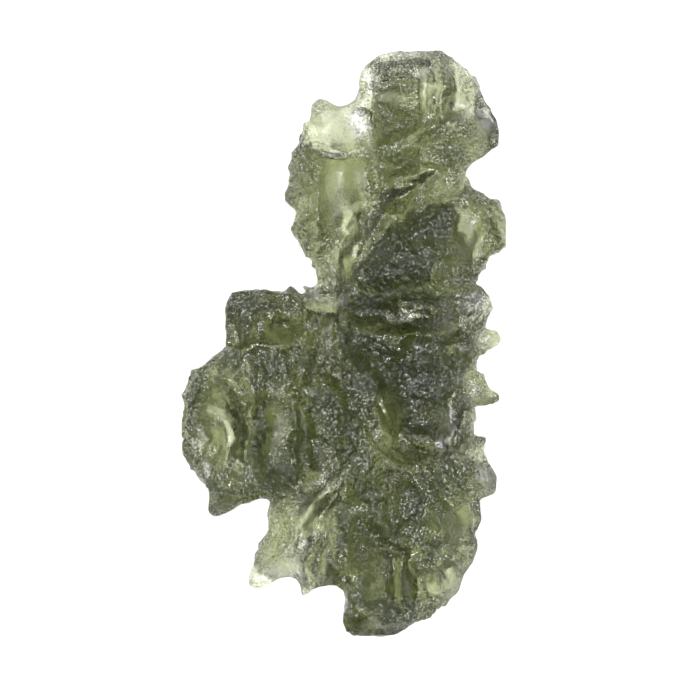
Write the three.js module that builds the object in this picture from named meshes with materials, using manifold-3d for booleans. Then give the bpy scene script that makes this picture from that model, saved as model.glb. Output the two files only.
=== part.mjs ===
// Moldavite: one natural piece of green glass, deeply etched into lobes, ribs, grooves and pits.
// It lies on its back on a surface. X runs across it, Y along it towards the crown, and Z is up.
// The origin is under the middle of its box, on the surface that it rests on. Lengths are in millimetres.

import * as THREE from "three";
import { ImprovedNoise } from "three/addons/math/ImprovedNoise.js";
import { mergeVertices } from "three/addons/utils/BufferGeometryUtils.js";
import Module from "manifold-3d";

// Driving dimensions
const LENGTH = 32;
const REST_LEVEL = 0.7;
const TOP_FACET = 0.49;
const UNDER_FACET = 0.81;

// Plan positions are read on a drawing grid, x to the right and y down, on which the stone is 587 steps long.
// Heights are in millimetres over the drawing's base, and the stone rests at REST_LEVEL.
const PLAN_LENGTH = 587;
const PLAN_CENTRE = { x: 344, y: 344 };
const STEP = LENGTH / PLAN_LENGTH;
const FAR = 40;

const wasm = await Module();
wasm.setup();

const toPlan = ([x, y]) => new THREE.Vector2((x - PLAN_CENTRE.x) * STEP, (PLAN_CENTRE.y - y) * STEP);

// Lobes. Each one has its outline on the plan grid, and the heights of its underside and top at the rim and
// on the plateau that it reaches some way in. Its grain is the heading, spacing and depth of its fine ridges.
// Ribs and grooves are [from, to, half width, rise or depth], from and to on the plan grid.

const SHOULDER = {
  outline: [
    [392, 52], [378, 55], [370, 62], [361, 72], [358, 82], [360, 88], [356, 98], [350, 104], [340, 107],
    [332, 104], [326, 100], [320, 99], [315, 102], [311, 106], [310, 118], [306, 128], [306, 162],
    [386, 166], [392, 100],
  ],
  rim: [4.2, 5.2],
  plateau: [3.8, 5.6],
  reach: 1.4,
  grain: { heading: 10, spacing: 1.6, depth: 0.1 },
  ribs: [
    [[314, 106], [322, 112], 0.7, 0.5],
  ],
  grooves: [],
};

const CROWN = {
  outline: [
    [380, 55], [390, 52], [420, 51], [441, 51], [446, 55], [452, 57], [457, 62], [466, 69], [471, 76],
    [474, 77], [478, 82], [481, 92], [485, 100], [490, 106], [492, 113], [497, 120], [499, 130],
    [500, 142], [497, 147], [489, 151], [480, 158], [472, 164], [467, 170], [463, 185], [440, 224],
    [400, 240], [376, 200], [374, 150], [374, 80],
  ],
  rim: [4.6, 5.1],
  plateau: [3.2, 6.4],
  reach: 2.2,
  grain: { heading: 30, spacing: 1.3, depth: 0.28 },
  ribs: [
    [[474, 82], [486, 106], 0.6, 0.5],
    [[444, 60], [446, 96], 0.8, 0.6],
    [[462, 66], [470, 100], 0.7, 0.6],
    [[426, 122], [440, 110], 0.7, 0.6],
    [[440, 132], [462, 118], 0.7, 0.7],
    [[436, 152], [478, 146], 1.5, 1.2],
    [[452, 150], [424, 166], 0.8, 0.7],
    [[458, 164], [422, 186], 0.8, 0.7],
    [[460, 180], [418, 206], 0.8, 0.7],
  ],
  grooves: [
    [[482, 104], [489, 134], 1.0, 1.0],
    [[425, 84], [426, 116], 0.7, 0.7],
    [[450, 104], [468, 114], 0.7, 0.8],
    [[424, 152], [446, 146], 0.6, 0.6],
    [[420, 176], [446, 168], 0.6, 0.7],
    [[436, 98], [446, 101], 0.5, 0.5],
    [[466, 150], [478, 154], 0.6, 0.5],
  ],
};

const CROWN_BLOCK = {
  outline: [
    [374, 87], [386, 79], [402, 78], [418, 82], [420, 110], [419, 150], [416, 190], [402, 214],
    [384, 214], [379, 190], [376, 150], [373, 120],
  ],
  rim: [2.9, 6.9],
  plateau: [2.3, 7.3],
  reach: 0.8,
  grain: { heading: 12, spacing: 1.1, depth: 0.2 },
  ribs: [
    [[382, 139], [418, 123], 0.7, 0.6],
    [[384, 172], [414, 160], 0.7, 0.5],
    [[386, 203], [412, 190], 0.7, 0.5],
  ],
  grooves: [
    [[386, 98], [412, 104], 0.9, 0.6],
    [[386, 149], [416, 137], 0.7, 0.6],
    [[388, 188], [412, 176], 0.6, 0.4],
  ],
};

const CROWN_STRIP = {
  outline: [
    [384, 70], [390, 63], [406, 64], [420, 61], [427, 66], [427, 78], [386, 78],
  ],
  rim: [4.2, 5.9],
  plateau: [3.9, 6.2],
  reach: 0.5,
  grain: { heading: 0, spacing: 1.4, depth: 0.1 },
  ribs: [],
  grooves: [],
};

const PANEL = {
  outline: [
    [305, 121], [302, 124], [303, 128], [301, 138], [299, 143], [294, 150], [291, 160], [287, 168],
    [289, 172], [290, 178], [288, 186], [284, 194], [284, 201], [290, 206], [295, 210], [296, 215],
    [294, 222], [290, 229], [293, 236], [299, 242], [302, 250], [309, 256], [312, 262], [316, 270],
    [317, 278], [316, 286], [310, 287], [303, 285], [306, 294], [300, 294], [290, 284], [285, 291],
    [300, 312], [330, 330], [362, 330], [400, 262], [412, 225], [392, 204], [382, 150], [346, 151],
    [312, 149], [309, 124],
  ],
  rim: [3.9, 4.9],
  plateau: [2.6, 6.2],
  reach: 1.3,
  grain: { heading: 85, spacing: 1.5, depth: 0.15 },
  ribs: [
    [[312, 152], [314, 218], 0.5, 0.5],
    [[318, 222], [322, 280], 0.6, 0.6],
    [[348, 240], [346, 300], 0.6, 0.3],
    [[386, 206], [352, 262], 0.9, 0.7],
    [[368, 200], [358, 240], 0.6, 0.4],
    [[290, 170], [308, 186], 0.5, 0.5],
    [[292, 229], [316, 214], 0.7, 0.6],
    [[302, 250], [320, 240], 0.6, 0.5],
    [[304, 130], [300, 160], 0.6, 0.5],
  ],
  grooves: [
    [[326, 229], [350, 233], 0.7, 0.7],
    [[326, 262], [336, 284], 0.8, 0.6],
    [[292, 196], [302, 200], 0.8, 0.6],
    [[332, 166], [340, 214], 1.2, 0.4],
    [[314, 236], [330, 250], 0.5, 0.5],
  ],
};

const WING = {
  outline: [
    [455, 176], [466, 174], [469, 180], [472, 187], [478, 191], [485, 195], [490, 198], [500, 199],
    [502, 206], [505, 214], [507, 222], [507, 246], [503, 250], [499, 253], [490, 255], [487, 262],
    [486, 268], [480, 273], [478, 279], [475, 285], [470, 305], [430, 305], [405, 260], [420, 200],
  ],
  rim: [3.3, 4.0],
  plateau: [2.1, 5.3],
  reach: 1.3,
  grain: { heading: 60, spacing: 1.2, depth: 0.2 },
  ribs: [
    [[470, 190], [498, 206], 0.7, 0.5],
    [[500, 212], [500, 246], 0.6, 0.5],
    [[433, 284], [448, 250], 0.8, 0.9],
    [[450, 284], [484, 262], 0.7, 0.6],
    [[492, 232], [478, 262], 0.5, 0.5],
  ],
  grooves: [
    [[488, 232], [470, 268], 0.6, 0.7],
    [[446, 262], [454, 280], 0.5, 0.5],
  ],
};

const SADDLE = {
  outline: [
    [454, 206], [430, 208], [412, 216], [394, 229], [376, 245], [360, 258], [350, 266], [354, 278],
    [352, 292], [342, 299], [338, 312], [338, 324], [340, 338], [344, 352], [350, 366], [356, 380],
    [362, 400], [362, 424], [376, 446], [400, 468], [435, 468], [446, 456], [450, 430], [452, 400],
    [454, 380], [467, 370], [473, 361], [478, 354], [476, 346], [468, 336], [456, 326], [454, 306],
    [452, 288], [432, 284], [430, 270], [442, 252], [452, 236],
  ],
  rim: [3.0, 6.5],
  plateau: [1.7, 7.9],
  reach: 1.8,
  grain: { heading: -8, spacing: 1.2, depth: 0.3 },
  ribs: [
    [[343, 311], [396, 316], 0.8, 0.8],
    [[400, 303], [460, 307], 0.8, 0.9],
    [[386, 325], [446, 321], 0.8, 0.8],
    [[360, 268], [394, 276], 1.0, 0.7],
    [[388, 258], [392, 286], 0.6, 0.6],
    [[405, 260], [430, 268], 0.9, 0.7],
    [[380, 246], [440, 216], 0.8, 0.7],
    [[436, 246], [450, 212], 0.8, 0.6],
    [[342, 328], [366, 346], 0.6, 0.6],
    [[366, 346], [398, 374], 1.1, 1.0],
    [[416, 342], [420, 357], 0.7, 0.6],
    [[402, 374], [442, 378], 0.8, 0.6],
    [[402, 394], [456, 388], 0.8, 0.6],
    [[404, 422], [440, 428], 0.8, 0.7],
  ],
  grooves: [
    [[356, 298], [392, 291], 0.7, 0.6],
    [[398, 293], [440, 287], 0.8, 0.8],
    [[350, 333], [390, 338], 0.8, 0.7],
    [[396, 334], [444, 330], 0.7, 0.6],
    [[448, 358], [464, 364], 0.9, 1.1],
    [[406, 435], [432, 437], 0.8, 0.9],
    [[374, 376], [386, 430], 1.2, 1.0],
    [[374, 342], [394, 350], 0.7, 0.6],
    [[406, 360], [440, 363], 0.6, 0.7],
    [[402, 252], [440, 252], 0.6, 0.8],
    [[450, 326], [454, 342], 0.8, 0.6],
  ],
};

const BUMP = {
  outline: [
    [446, 287], [475, 285], [480, 286], [485, 291], [489, 297], [492, 303], [494, 310], [490, 314],
    [487, 321], [483, 328], [480, 336], [476, 346], [478, 354], [462, 350], [446, 326],
  ],
  rim: [4.7, 5.6],
  plateau: [4.8, 6.3],
  reach: 1.1,
  grain: { heading: 30, spacing: 1.1, depth: 0.2 },
  ribs: [
    [[456, 289], [480, 290], 0.5, 0.5],
  ],
  grooves: [
    [[456, 324], [476, 330], 0.8, 0.5],
  ],
};

const FLANK = {
  outline: [
    [446, 376], [465, 372], [465, 385], [468, 398], [474, 405], [476, 413], [477, 418], [474, 425],
    [473, 436], [466, 452], [460, 456], [440, 462], [442, 420],
  ],
  rim: [4.3, 5.6],
  plateau: [4.2, 6.4],
  reach: 0.9,
  grain: { heading: 88, spacing: 0.9, depth: 0.25 },
  ribs: [
    [[459, 382], [450, 444], 0.6, 0.6],
    [[470, 404], [469, 446], 0.5, 0.5],
  ],
  grooves: [
    [[461, 412], [463, 448], 0.5, 0.8],
  ],
};

const SPIKES = {
  outline: [
    [450, 328], [484, 328], [490, 329], [496, 330], [500, 336], [502, 340], [499, 345], [492, 349],
    [485, 352], [479, 356], [474, 360], [476, 366], [479, 371], [482, 372], [486, 380], [490, 388],
    [496, 392], [499, 394], [500, 401], [494, 404], [485, 406], [475, 407], [450, 415],
  ],
  rim: [2.6, 3.9],
  plateau: [2.4, 4.7],
  reach: 1.0,
  grain: { heading: -20, spacing: 1.2, depth: 0.15 },
  ribs: [],
  grooves: [],
};

const KNUCKLE = {
  outline: [
    [440, 436], [473, 434], [478, 436], [486, 437], [487, 440], [485, 446], [485, 452], [487, 458],
    [490, 464], [492, 466], [495, 472], [497, 480], [497, 488], [495, 494], [489, 497], [480, 499],
    [440, 505],
  ],
  rim: [3.8, 4.6],
  plateau: [2.9, 5.6],
  reach: 1.2,
  grain: { heading: 10, spacing: 1.1, depth: 0.25 },
  ribs: [
    [[450, 462], [482, 478], 0.8, 0.7],
    [[472, 470], [492, 482], 0.7, 0.5],
    [[452, 442], [480, 444], 0.7, 0.5],
  ],
  grooves: [
    [[474, 452], [480, 464], 0.5, 0.5],
  ],
};

const LEFT_SLAB = {
  outline: [
    [232, 292], [262, 290], [290, 292], [304, 302], [304, 330], [290, 346], [250, 350], [227, 345],
    [226, 320], [225, 309], [228, 299],
  ],
  rim: [3.2, 6.2],
  plateau: [2.4, 6.6],
  reach: 0.9,
  grain: { heading: 20, spacing: 1.2, depth: 0.25 },
  ribs: [
    [[234, 306], [262, 302], 0.8, 0.4],
    [[246, 318], [246, 340], 0.6, 0.5],
    [[274, 321], [294, 331], 0.5, 0.6],
  ],
  grooves: [
    [[232, 322], [242, 330], 0.5, 0.4],
  ],
};

const LEFT_FAN = {
  outline: [
    [290, 292], [262, 290], [232, 292], [228, 300], [225, 309], [226, 320], [227, 335], [227, 344],
    [220, 353], [212, 358], [203, 365], [194, 370], [190, 378], [186, 388], [181, 394], [184, 403],
    [183, 412], [181, 422], [182, 432], [184, 441], [182, 446], [183, 454], [187, 456], [187, 461],
    [190, 466], [196, 474], [202, 483], [206, 484], [209, 493], [208, 507], [210, 513], [214, 516],
    [225, 514], [232, 510], [240, 505], [250, 504], [255, 501], [262, 499], [270, 500], [300, 515],
    [350, 500], [385, 450], [385, 400], [375, 350], [352, 300], [325, 296], [310, 302],
  ],
  rim: [3.9, 4.9],
  plateau: [2.1, 6.2],
  reach: 2.0,
  grain: { heading: 80, spacing: 1.3, depth: 0.22 },
  ribs: [
    [[344, 296], [331, 345], 1.1, 0.4],
    [[331, 343], [310, 386], 1.1, 0.4],
    [[310, 384], [286, 396], 0.9, 0.6],
    [[262, 352], [282, 386], 1.0, 0.4],
    [[212, 384], [242, 358], 0.8, 0.7],
    [[216, 392], [264, 394], 0.8, 0.6],
    [[197, 378], [190, 430], 0.7, 0.7],
    [[188, 442], [206, 480], 0.6, 0.6],
    [[204, 420], [222, 456], 0.5, 0.6],
    [[250, 424], [232, 478], 0.6, 0.8],
    [[280, 400], [280, 460], 1.2, 0.3],
    [[276, 468], [288, 494], 0.9, 0.4],
    [[297, 404], [296, 462], 0.5, 0.6],
    [[320, 408], [330, 462], 1.1, 0.3],
    [[318, 426], [344, 446], 0.7, 0.5],
    [[337, 368], [360, 412], 0.8, 0.9],
    [[214, 496], [252, 498], 0.7, 0.4],
  ],
  grooves: [
    [[255, 402], [256, 462], 0.6, 0.5],
    [[304, 404], [305, 468], 0.6, 0.6],
    [[214, 408], [236, 462], 1.5, 1.5],
    [[254, 468], [260, 492], 0.8, 0.7],
    [[344, 392], [350, 438], 0.8, 0.3],
    [[200, 436], [208, 452], 0.5, 0.6],
    [[298, 340], [300, 386], 0.8, 0.4],
    [[220, 372], [238, 362], 0.5, 0.5],
  ],
};

const BOTTOM_FAN = {
  outline: [
    [480, 499], [481, 510], [482, 516], [481, 522], [478, 529], [476, 533], [478, 540], [478, 549],
    [475, 557], [470, 566], [465, 575], [460, 586], [455, 595], [450, 600], [447, 606], [440, 610],
    [432, 616], [420, 620], [412, 625], [404, 630], [395, 635], [382, 637], [370, 636], [352, 635],
    [346, 631], [343, 624], [343, 617], [345, 608], [345, 598], [343, 591], [338, 586], [328, 560],
    [322, 530], [324, 500], [332, 470], [346, 430], [370, 410], [440, 420], [480, 450],
  ],
  rim: [4.0, 4.8],
  plateau: [2.7, 6.2],
  reach: 2.6,
  grain: { heading: 65, spacing: 1.3, depth: 0.2 },
  ribs: [
    [[350, 588], [350, 628], 0.8, 0.6],
    [[362, 522], [378, 543], 0.6, 0.8],
    [[378, 543], [402, 552], 0.6, 0.8],
    [[383, 556], [380, 602], 0.7, 0.8],
    [[402, 556], [406, 606], 0.7, 0.9],
    [[420, 556], [448, 590], 0.7, 0.7],
    [[432, 546], [464, 566], 0.6, 0.5],
    [[428, 452], [462, 492], 0.7, 0.7],
    [[444, 446], [478, 480], 0.7, 0.6],
    [[414, 462], [448, 502], 0.6, 0.6],
    [[430, 494], [448, 532], 0.7, 0.7],
    [[352, 446], [362, 490], 0.8, 0.5],
    [[360, 606], [404, 612], 1.0, 0.9],
    [[420, 612], [460, 576], 0.6, 0.5],
  ],
  grooves: [
    [[366, 508], [384, 530], 1.1, 0.6],
    [[338, 506], [336, 572], 0.7, 0.6],
    [[360, 578], [364, 598], 0.8, 0.9],
    [[372, 466], [376, 492], 0.8, 0.4],
    [[412, 562], [416, 600], 0.5, 0.5],
    [[436, 490], [446, 498], 0.7, 0.6],
  ],
};

const TONGUE = {
  outline: [
    [342, 590], [339, 587], [330, 585], [320, 587], [312, 590], [308, 593], [303, 596], [301, 591],
    [300, 584], [296, 579], [288, 577], [278, 579], [270, 584], [262, 589], [256, 590], [250, 585],
    [249, 579], [251, 570], [254, 562], [255, 553], [258, 549], [263, 538], [268, 530], [267, 512],
    [269, 505], [270, 498], [282, 476], [320, 440], [352, 430], [366, 470], [364, 510], [360, 550],
    [354, 594],
  ],
  rim: [4.0, 4.9],
  plateau: [3.3, 5.8],
  reach: 1.6,
  grain: { heading: 62, spacing: 1.2, depth: 0.2 },
  ribs: [
    [[345, 452], [298, 502], 0.9, 0.7],
    [[298, 502], [266, 560], 0.8, 0.6],
    [[330, 500], [298, 558], 0.8, 0.8],
    [[322, 524], [308, 570], 0.6, 0.6],
  ],
  grooves: [
    [[262, 566], [292, 566], 0.9, 0.4],
  ],
};

const PETAL = {
  outline: [
    [388, 468], [410, 474], [426, 490], [431, 515], [422, 538], [404, 546], [392, 534], [385, 500],
  ],
  rim: [3.4, 6.5],
  plateau: [3.2, 7.1],
  reach: 1.1,
  grain: { heading: 70, spacing: 1.2, depth: 0.2 },
  ribs: [
    [[392, 482], [416, 498], 0.7, 0.4],
  ],
  grooves: [
    [[400, 534], [414, 530], 0.7, 0.8],
  ],
};

const DISC = {
  outline: [
    [452, 508], [462, 502], [480, 500], [481, 510], [482, 516], [481, 522], [478, 529], [470, 541],
    [456, 542], [450, 528],
  ],
  rim: [3.8, 5.3],
  plateau: [3.4, 5.6],
  reach: 0.8,
  grain: { heading: 0, spacing: 1.4, depth: 0.1 },
  ribs: [],
  grooves: [
    [[462, 514], [472, 528], 1.0, 0.4],
  ],
};

const LOBES = [
  SHOULDER, CROWN, CROWN_BLOCK, CROWN_STRIP, PANEL, WING, SADDLE, BUMP, FLANK, SPIKES, KNUCKLE,
  LEFT_SLAB, LEFT_FAN, BOTTOM_FAN, TONGUE, PETAL, DISC,
];
const CORNERS = LOBES.map(({ outline }) => outline.map(toPlan));

// The underside's own ribs and grooves, on the same plan grid
const UNDERSIDE = {
  ribs: [
    [[304, 126], [300, 160], 0.9, 1.3],
    [[356, 136], [358, 182], 0.9, 0.9],
    [[430, 80], [424, 150], 0.9, 0.4],
    [[390, 90], [386, 140], 0.8, 0.5],
    [[448, 152], [482, 150], 1.1, 1.6],
    [[330, 166], [334, 208], 1.0, 0.5],
    [[303, 222], [314, 268], 1.0, 1.0],
    [[484, 210], [486, 250], 1.3, 1.0],
    [[262, 316], [300, 330], 1.0, 0.7],
    [[302, 344], [303, 370], 1.0, 1.35],
    [[350, 338], [366, 390], 1.3, 1.4],
    [[366, 390], [366, 440], 1.2, 1.3],
    [[370, 440], [378, 500], 1.2, 1.6],
    [[320, 402], [350, 430], 1.1, 1.2],
    [[398, 364], [450, 360], 1.0, 0.7],
    [[456, 368], [474, 382], 0.9, 1.0],
    [[212, 366], [196, 384], 1.2, 1.6],
    [[196, 384], [192, 436], 1.1, 1.4],
    [[200, 446], [216, 482], 1.1, 0.9],
    [[256, 384], [290, 388], 1.0, 0.5],
    [[256, 472], [290, 484], 1.3, 1.5],
    [[336, 510], [348, 592], 1.2, 1.3],
    [[352, 500], [386, 524], 1.2, 1.4],
    [[398, 500], [434, 536], 1.4, 1.0],
    [[464, 496], [474, 548], 1.3, 1.3],
    [[386, 608], [440, 606], 1.0, 1.2],
  ],
  grooves: [
    [[410, 90], [408, 134], 0.9, 0.8],
    [[450, 80], [440, 140], 1.0, 1.0],
    [[404, 166], [412, 214], 1.2, 0.7],
    [[392, 66], [432, 66], 1.0, 0.9],
    [[352, 216], [344, 300], 1.5, 1.3],
    [[384, 212], [368, 272], 1.3, 1.6],
    [[342, 284], [352, 322], 1.3, 1.8],
    [[366, 312], [440, 302], 1.0, 0.9],
    [[428, 328], [462, 336], 1.2, 1.5],
    [[458, 296], [470, 314], 1.0, 0.9],
    [[232, 336], [256, 346], 1.0, 0.9],
    [[226, 404], [242, 444], 1.2, 1.0],
    [[240, 368], [246, 388], 0.9, 0.6],
    [[298, 388], [304, 400], 0.9, 0.8],
    [[400, 388], [436, 398], 1.0, 0.8],
    [[446, 414], [446, 454], 1.5, 2.3],
    [[320, 478], [326, 540], 1.1, 1.3],
    [[402, 444], [420, 470], 1.0, 0.8],
    [[368, 536], [384, 572], 1.0, 1.0],
    [[426, 566], [444, 590], 1.1, 0.6],
  ],
  grain: { heading: 25, spacing: 1.8, depth: 0.35 },
};

// The three knobs of the underside that the stone lies on
const FEET = [
  [[416, 238], [430, 262]],
  [[290, 406], [314, 418]],
  [[356, 568], [370, 588]],
];
const FOOT = { wide: 2.1, sunk: 0.15 };

// Distances on the plan

function distanceToSegment(point, start, end) {
  const line = new THREE.Vector2().subVectors(end, start);
  const along = new THREE.Vector2().subVectors(point, start).dot(line) / line.lengthSq();
  return start.clone().addScaledVector(line, THREE.MathUtils.clamp(along, 0, 1)).distanceTo(point);
}

function isInside(point, corners) {
  let inside = false;
  corners.forEach((a, i) => {
    const b = corners.at(i - 1);
    const crosses = a.y > point.y !== b.y > point.y;
    if (crosses && point.x < ((b.x - a.x) * (point.y - a.y)) / (b.y - a.y) + a.x) inside = !inside;
  });
  return inside;
}

function distanceToOutline(point, corners) {
  return Math.min(...corners.map((corner, i) => distanceToSegment(point, corner, corners.at(i - 1))));
}

const depthInside = (point, corners) => (isInside(point, corners) ? distanceToOutline(point, corners) : 0);

// Relief

const noise = new ImprovedNoise();

// The greatest of some ribs or grooves at a point. Each one is a round ridge along its line.
function crest(point, strokes) {
  const heights = strokes.map(([from, to, wide, rise]) => {
    const away = distanceToSegment(point, toPlan(from), toPlan(to));
    return rise * Math.max(0, 1 - (away / wide) ** 2);
  });
  return Math.max(0, ...heights);
}

// Fine ridges run along a heading, sharp along their crests.
function grainAt(point, { heading, spacing, depth }, layer) {
  const turned = point.clone().rotateAround(new THREE.Vector2(), -THREE.MathUtils.degToRad(heading));
  const ridge = Math.abs(noise.noise(turned.x / (3 * spacing), turned.y / spacing, layer));
  return depth * (0.5 - 2.2 * ridge);
}

// How far a point is in from a lobe's rim, from 0 at the rim to 1 on its plateau.
function fillAt(point, corners, reach) {
  return Math.sin((Math.PI / 2) * Math.min(1, depthInside(point, corners) / reach));
}

const shaped = (relief, filled) => relief * THREE.MathUtils.lerp(0.35, 1, filled);

function topHeight(point, { rim, plateau, reach, ribs, grooves, grain }, corners, layer) {
  const filled = fillAt(point, corners, reach);
  const relief = crest(point, ribs) - crest(point, grooves) + grainAt(point, grain, layer);
  return THREE.MathUtils.lerp(rim[1], plateau[1], filled) + shaped(relief, filled);
}

// The underside follows the lobe that hangs lowest over a point, down to the feet.
function underHeight(point) {
  const { ribs, grooves, grain } = UNDERSIDE;
  const relief = crest(point, ribs) - crest(point, grooves) + grainAt(point, grain, 0.5);
  const levels = LOBES.map(({ rim, plateau, reach }, index) => {
    const filled = fillAt(point, CORNERS[index], reach);
    return THREE.MathUtils.lerp(rim[0], plateau[0], filled) - shaped(relief, filled);
  });
  const near = LOBES.map((lobe, index) => distanceToOutline(point, CORNERS[index]));
  const over = levels.filter((level, index) => isInside(point, CORNERS[index]));
  const level = over.length ? Math.min(...over) : levels[near.indexOf(Math.min(...near))];
  const knob = crest(point, FEET.map(([from, to]) => [from, to, FOOT.wide, 1]));
  return THREE.MathUtils.lerp(level, Math.min(level, REST_LEVEL - FOOT.sunk), knob);
}

// Solids

function solid(geometry) {
  geometry.deleteAttribute("normal");
  geometry.deleteAttribute("uv");
  const closed = mergeVertices(geometry, 1e-4);
  return new wasm.Manifold(
    new wasm.Mesh({
      numProp: 3,
      vertProperties: closed.attributes.position.array,
      triVerts: new Uint32Array(closed.index.array),
    }),
  );
}

function surface(manifold) {
  const { vertProperties, triVerts } = manifold.getMesh();
  const geometry = new THREE.BufferGeometry();
  geometry.setAttribute("position", new THREE.BufferAttribute(vertProperties, 3));
  geometry.setIndex(new THREE.BufferAttribute(triVerts, 1));
  return geometry;
}

// An outline, extruded between two heights.
function slab(corners, bottom, top) {
  const options = { depth: top - bottom, bevelEnabled: false };
  const geometry = new THREE.ExtrudeGeometry(new THREE.Shape(corners), options);
  geometry.translate(0, 0, bottom);
  return solid(geometry);
}

// A tall block over some corners. The face on one side, 1 for the top and -1 for the underside, is relief.
function sheet(corners, facet, side, heightAt) {
  const box = new THREE.Box2().setFromPoints(corners).expandByScalar(facet);
  const size = box.getSize(new THREE.Vector2());
  const middle = box.getCenter(new THREE.Vector2());
  const cells = [Math.ceil(size.x / facet), Math.ceil(size.y / facet)];
  const geometry = new THREE.BoxGeometry(size.x, size.y, 2 * FAR, ...cells, 1);
  const position = geometry.attributes.position;
  for (let i = 0; i < position.count; i += 1) {
    const level = new THREE.Vector2(position.getX(i), position.getY(i)).add(middle);
    const point = level.clone().add(wander(level, facet, side));
    const height = Math.sign(position.getZ(i)) === side ? heightAt(point) : -side * FAR;
    position.setXYZ(i, point.x, point.y, height);
  }
  return solid(geometry);
}

// Facet corners wander off their even rows, so that no two facets are alike.
function wander(level, facet, side) {
  const shift = (layer) => 0.7 * facet * noise.noise(level.x * 3.7, level.y * 3.7, layer + 7 * side);
  return new THREE.Vector2(shift(20.3), shift(40.7));
}

function lobeSolid(lobe, index) {
  const corners = CORNERS[index];
  const relief = sheet(corners, TOP_FACET, 1, (point) => topHeight(point, lobe, corners, 3.3 * index));
  return relief.intersect(slab(corners, -FAR, FAR));
}

const lobes = LOBES.map(lobeSolid).reduce((sum, next) => sum.add(next));
const underside = sheet(CORNERS.flat(), UNDER_FACET, -1, underHeight);
const aboveRest = slab([[0, 0], [0, 700], [700, 700], [700, 0]].map(toPlan), REST_LEVEL, FAR);
const whole = lobes.intersect(underside).intersect(aboveRest);

const geometry = surface(whole);
geometry.computeBoundingBox();
const middle = geometry.boundingBox.getCenter(new THREE.Vector3());

const stone = new THREE.Mesh(
  geometry,
  new THREE.MeshStandardMaterial({ color: 0x6f7a45, roughness: 0.35, metalness: 0 }),
);
stone.name = "moldavite";
stone.position.set(-middle.x, -middle.y, -REST_LEVEL);

const moldavite = new THREE.Group();
moldavite.add(stone);

export default moldavite;
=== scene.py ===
"""A moldavite, a piece of etched green natural glass, lying on a pale surface under soft light."""
import math

import bpy
import numpy as np
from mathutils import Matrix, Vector


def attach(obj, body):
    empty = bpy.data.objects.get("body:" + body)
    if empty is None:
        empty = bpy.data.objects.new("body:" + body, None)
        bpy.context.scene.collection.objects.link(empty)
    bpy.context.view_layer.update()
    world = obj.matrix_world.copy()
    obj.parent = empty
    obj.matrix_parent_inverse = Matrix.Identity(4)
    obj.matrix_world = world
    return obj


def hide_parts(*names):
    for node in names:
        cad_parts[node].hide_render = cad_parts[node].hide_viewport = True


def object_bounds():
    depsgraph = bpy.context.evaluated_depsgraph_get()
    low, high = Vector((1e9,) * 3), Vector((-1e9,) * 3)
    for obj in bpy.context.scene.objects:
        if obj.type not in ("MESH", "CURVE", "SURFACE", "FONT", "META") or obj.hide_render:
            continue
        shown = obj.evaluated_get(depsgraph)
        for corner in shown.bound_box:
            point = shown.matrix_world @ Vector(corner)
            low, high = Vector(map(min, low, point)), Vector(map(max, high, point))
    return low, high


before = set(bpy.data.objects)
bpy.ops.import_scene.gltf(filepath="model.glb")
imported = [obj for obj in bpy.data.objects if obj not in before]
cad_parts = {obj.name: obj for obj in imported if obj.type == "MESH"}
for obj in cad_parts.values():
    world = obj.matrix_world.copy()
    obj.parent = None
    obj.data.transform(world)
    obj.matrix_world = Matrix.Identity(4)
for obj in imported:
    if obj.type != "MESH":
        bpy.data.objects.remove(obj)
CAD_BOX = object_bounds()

MM = 0.001

# The plan grid is the photograph's, x to the right and y down. The stone is 586 of its steps long.
# The photograph's frame is laid through the height of the stone's rim.
PHOTO_WIDTH = 700
STONE_LENGTH = 586
PLAN_CENTRE = (344, 344)
STEP = (CAD_BOX[1][1] - CAD_BOX[0][1]) / STONE_LENGTH
RIM_HEIGHT = 3.9 * MM

# How fine the skin is made
WELD_DISTANCE = 0.001 * MM
VOXEL = 0.115 * MM
SMOOTH_FACTOR = 0.5
SMOOTH_ROUNDS = 1
KEPT_SHARE = 0.68

# How far strokes and edges wander, how level the skin must be for a full stroke, and what a window wears off
WANDER = 0.11 * MM
LEVEL_ENOUGH = 0.5
WINDOW_WEAR = 0.75

# A stroke has half its height at each end, and all of it from a twelfth of its length on
STROKE_END = 0.5
STROKE_END_SLOPE = 6

# An oval counts in full out to half its size, and fades out to four thirds of it
OVAL_LEVEL = 1.6
OVAL_SLOPE = 1.2

# How deeply the skin is etched: 0 is smooth, 1 is carved in full, and a cleft is etched past full, which
# darkens its glass with crowded pits of painted shade
USUAL_DEPTH = 0.34
WINDOW_LOSS = 0.32
ROUGH_GAIN = 0.66
FACET_DEPTH = 0.85
CLEFT_DEPTH_AND_SHADE = 1.5

# Carvings in mm and degrees on the plan: (texture, depth, size, heading, stretch, level that stays in place)
CARVINGS = [
    ("cups", 0.34, 0.72, 20, 1.4, 0.35),
    ("cups", 0.22, 0.38, 65, 1.2, 0.35),
    ("crags", 0.2, 0.6, 70, 2.0, 0.5),
]

# The glass, with its density per metre.
# Skin counts as a window in full below the first depth of etching, and not above the second.
GLASS_IOR = 1.49
GLASS_COLOUR = (0.51, 0.54, 0.31)
GLASS_DENSITY = 850.0
CLEAR_TINT = (0.98, 0.98, 0.95)
CLEAR_ROUGHNESS = 0.07
WINDOW_ROUGHNESS = 0.31
WINDOW_ETCHING = (0.05, 0.3)
SHADOW_TINT = (0.9, 0.9, 0.9)

# Uneven patches of frost
PATCH_SCALE = 550.0
PATCH_NOISE = (0.38, 0.62)
PATCH_CHANGE = (-0.25, 0.25)

# Fine relief, from the share in bare glass to the full relief of frosted skin
RIDGE_SCALE = 2000.0
RIDGE_SHARE = 0.9
GRAIN_SCALE = 8500.0
GRAIN_CRISPNESS = 0.65
GRAIN_DEPTH = 0.1 * MM
RELIEF_FROST = (0.0, 0.6)
RELIEF_SHARE = (0.1, 1.0)
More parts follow.
